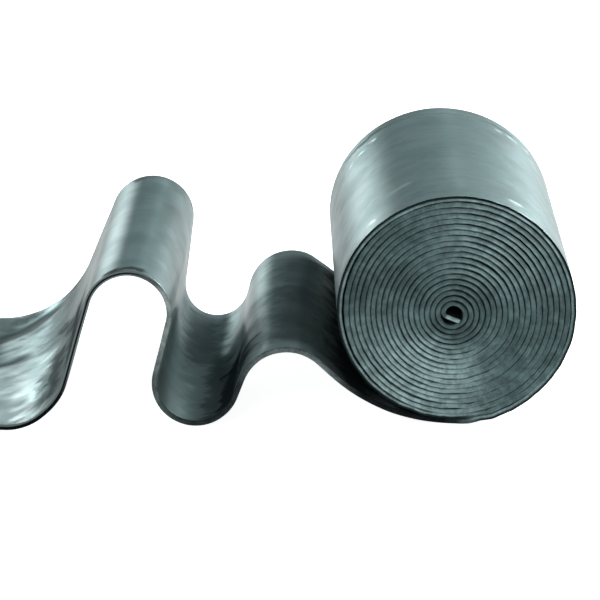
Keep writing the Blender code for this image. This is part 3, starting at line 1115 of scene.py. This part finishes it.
# %% The strip as a mesh
def swept_strip():
    blank = bpy.data.objects.new("sweep_blank", bpy.data.meshes.new("sweep_blank"))
    bpy.context.collection.objects.link(blank)
    tree = sweep_tree()
    modifier = blank.modifiers.new("Sweep", "NODES")
    modifier.node_group = tree
    values = {name: value for name, _, value in SWEEP_INPUTS}
    values["Lead"] = lead
    for item in tree.interface.items_tree:
        if item.in_out == "INPUT" and item.name in values:
            modifier[item.identifier] = values[item.name]
    bpy.context.view_layer.update()
    evaluated = blank.evaluated_get(bpy.context.evaluated_depsgraph_get())
    mesh = bpy.data.meshes.new_from_object(evaluated)
    mesh.name = "lead_strip"
    for used in (blank, near_route, far_route, section_guide):
        bpy.data.objects.remove(used, do_unlink=True)
    strip = bpy.data.objects.new("lead_strip", mesh)
    bpy.context.collection.objects.link(strip)
    return strip


lead_strip = swept_strip()
mesh = lead_strip.data
mesh.transform(Matrix.Translation(place))
mesh.shade_smooth()
print(len(mesh.vertices), "points and", len(mesh.polygons), "faces")

# %% [markdown]
# The camera
#
# The photo was taken with a long lens from a little above the roll's axis. The camera is
# set by where it looks from and by the pixel at which it sees the middle of the roll's near
# end, in a picture 600 pixels wide. Turning a camera by hand until the picture fits works
# too, but numbers can be fitted to the outlines one by one. The angles are how far the
# camera looks down, to the right, and how far it is tilted, in degrees.

# %% Camera
PICTURE_PIXELS = 600
SENSOR_WIDTH = 36.0
FOCAL_PIXELS = 4762.91
CAMERA_DISTANCE = 1.618684
CAMERA_ANGLES = (13.8546, 0.554, -0.1741)
ROLL_CENTRE_PIXEL = (456.110, 309.532)

roll_centre = place + Vector((0.0, 0.0, ROLL_CENTRE_HEIGHT))


def towards(turn, rise):
    """A direction so far to the right of straight back and so far up, both in radians."""
    return Vector((math.sin(turn) * math.cos(rise), math.cos(turn) * math.cos(rise), math.sin(rise)))


def photo_camera():
    elevation, yaw, roll = [math.radians(angle) for angle in CAMERA_ANGLES]
    forward = towards(yaw, -elevation)
    level = Vector((math.cos(yaw), -math.sin(yaw), 0.0))
    upright = level.cross(forward)
    right = level * math.cos(roll) + upright * math.sin(roll)
    above = upright * math.cos(roll) - level * math.sin(roll)
    across_pixels = (ROLL_CENTRE_PIXEL[0] - PICTURE_PIXELS / 2) / FOCAL_PIXELS
    down_pixels = (ROLL_CENTRE_PIXEL[1] - PICTURE_PIXELS / 2) / FOCAL_PIXELS
    sight = forward + across_pixels * right - down_pixels * above
    data = bpy.data.cameras.new("photo_camera")
    data.sensor_width = SENSOR_WIDTH
    data.lens = FOCAL_PIXELS / PICTURE_PIXELS * SENSOR_WIDTH
    camera = bpy.data.objects.new("photo_camera", data)
    axes = Matrix((right, above, -forward)).transposed()
    camera.matrix_world = Matrix.Translation(roll_centre - CAMERA_DISTANCE * sight) @ axes.to_4x4()
    bpy.context.collection.objects.link(camera)
    bpy.context.scene.camera = camera
    return camera


camera = photo_camera()
print("camera at", in_mm(camera.location), "mm, lens", round(camera.data.lens, 1), "mm")

# %% [markdown]
# The floor
#
# The photo's floor is plain white and almost without shadows, like a light table. A white
# floor under strong lamps would still take shadows, so this one glows a little by itself.

# %% Floor
FLOOR_SIZE = 6.0
FLOOR_COLOUR = (0.75, 0.75, 0.75, 1.0)
FLOOR_ROUGHNESS, FLOOR_SHEEN = 0.9, 0.1
GLOW_COLOUR = (1.0, 1.0, 1.0, 1.0)
FLOOR_GLOW = 0.93


def pale_floor():
    half = FLOOR_SIZE / 2
    data = bpy.data.meshes.new("floor")
    corners = [(-half, -half, 0.0), (half, -half, 0.0), (half, half, 0.0), (-half, half, 0.0)]
    data.from_pydata(corners, [], [(0, 1, 2, 3)])
    material = bpy.data.materials.new("pale_floor")
    material.use_nodes = True
    paint = material.node_tree.nodes["Principled BSDF"]
    paint.inputs["Base Color"].default_value = FLOOR_COLOUR
    paint.inputs["Roughness"].default_value = FLOOR_ROUGHNESS
    paint.inputs["Specular IOR Level"].default_value = FLOOR_SHEEN
    paint.inputs["Emission Color"].default_value = GLOW_COLOUR
    paint.inputs["Emission Strength"].default_value = FLOOR_GLOW
    data.materials.append(material)
    floor = bpy.data.objects.new("floor", data)
    bpy.context.collection.objects.link(floor)
    return floor


floor = pale_floor()
print("a floor", FLOOR_SIZE, "m wide")

# %% [markdown]
# Lamps and room
#
# Lead is a mirror for its room: the round tops show a dim room, and the sides show soft
# lamps that stand behind the object, low on the left and higher on the right. The roll's
# end faces the camera, and shows the floor and one soft lamp on the left. A picture of a
# studio wrapped round the scene would reflect just as well, but lamps can be moved singly.

# %% Lamps, each as (name, azimuth, elevation, distance, size, power, colour)
LAMPS = (
    ("low_left_back_lamp", -18.0, 10.0, 1.0, 0.25, 1.25, (0.96, 1.0, 1.0)),
    ("left_back_lamp", -34.0, 25.0, 1.0, 0.30, 2.50, (0.91, 1.0, 1.0)),
    ("back_lamp", -2.0, 25.0, 1.0, 0.35, 0.55, (0.85, 1.0, 1.02)),
    ("next_back_lamp", 16.0, 25.0, 1.0, 0.30, 0.55, (0.87, 1.0, 1.0)),
    ("right_back_lamp", 45.0, 25.0, 1.0, 0.30, 9.2, (1.0, 1.0, 1.0)),
    ("right_near_lamp", 60.0, 45.0, 0.45, 0.18, 1.60, (0.89, 1.0, 1.0)),
    ("front_lamp", -165.0, 32.0, 1.0, 0.45, 2.2, (0.97, 1.0, 1.0)),
)


def soft_lamp(name, azimuth, elevation, distance, size, power, colour):
    """A square panel lamp that faces the object; azimuth zero is behind it, plus is right."""
    data = bpy.data.lights.new(name, "AREA")
    data.shape = "SQUARE"
    data.size = size
    data.energy = power
    data.color = colour
    lamp = bpy.data.objects.new(name, data)
    direction = towards(math.radians(azimuth), math.radians(elevation))
    lamp.location = direction * distance
    lamp.rotation_euler = direction.to_track_quat("Z", "Y").to_euler()
    lamp.visible_camera = False
    bpy.context.collection.objects.link(lamp)


for lamp_values in LAMPS:
    soft_lamp(*lamp_values)
print(len(LAMPS), "lamps")

# %% Room
ROOM_COLOUR = (0.80, 0.95, 1.0, 1.0)
ROOM_STRENGTH = 0.02

room = bpy.data.worlds.new("dim_room")
room.use_nodes = True
room.node_tree.nodes["Background"].inputs["Color"].default_value = ROOM_COLOUR
room.node_tree.nodes["Background"].inputs["Strength"].default_value = ROOM_STRENGTH
bpy.context.scene.world = room
bpy.context.scene.view_settings.view_transform = "Standard"
print("a dim room of strength", ROOM_STRENGTH)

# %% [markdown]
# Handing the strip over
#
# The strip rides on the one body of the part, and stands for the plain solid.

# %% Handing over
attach(lead_strip, "root")
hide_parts("flashing_strip")
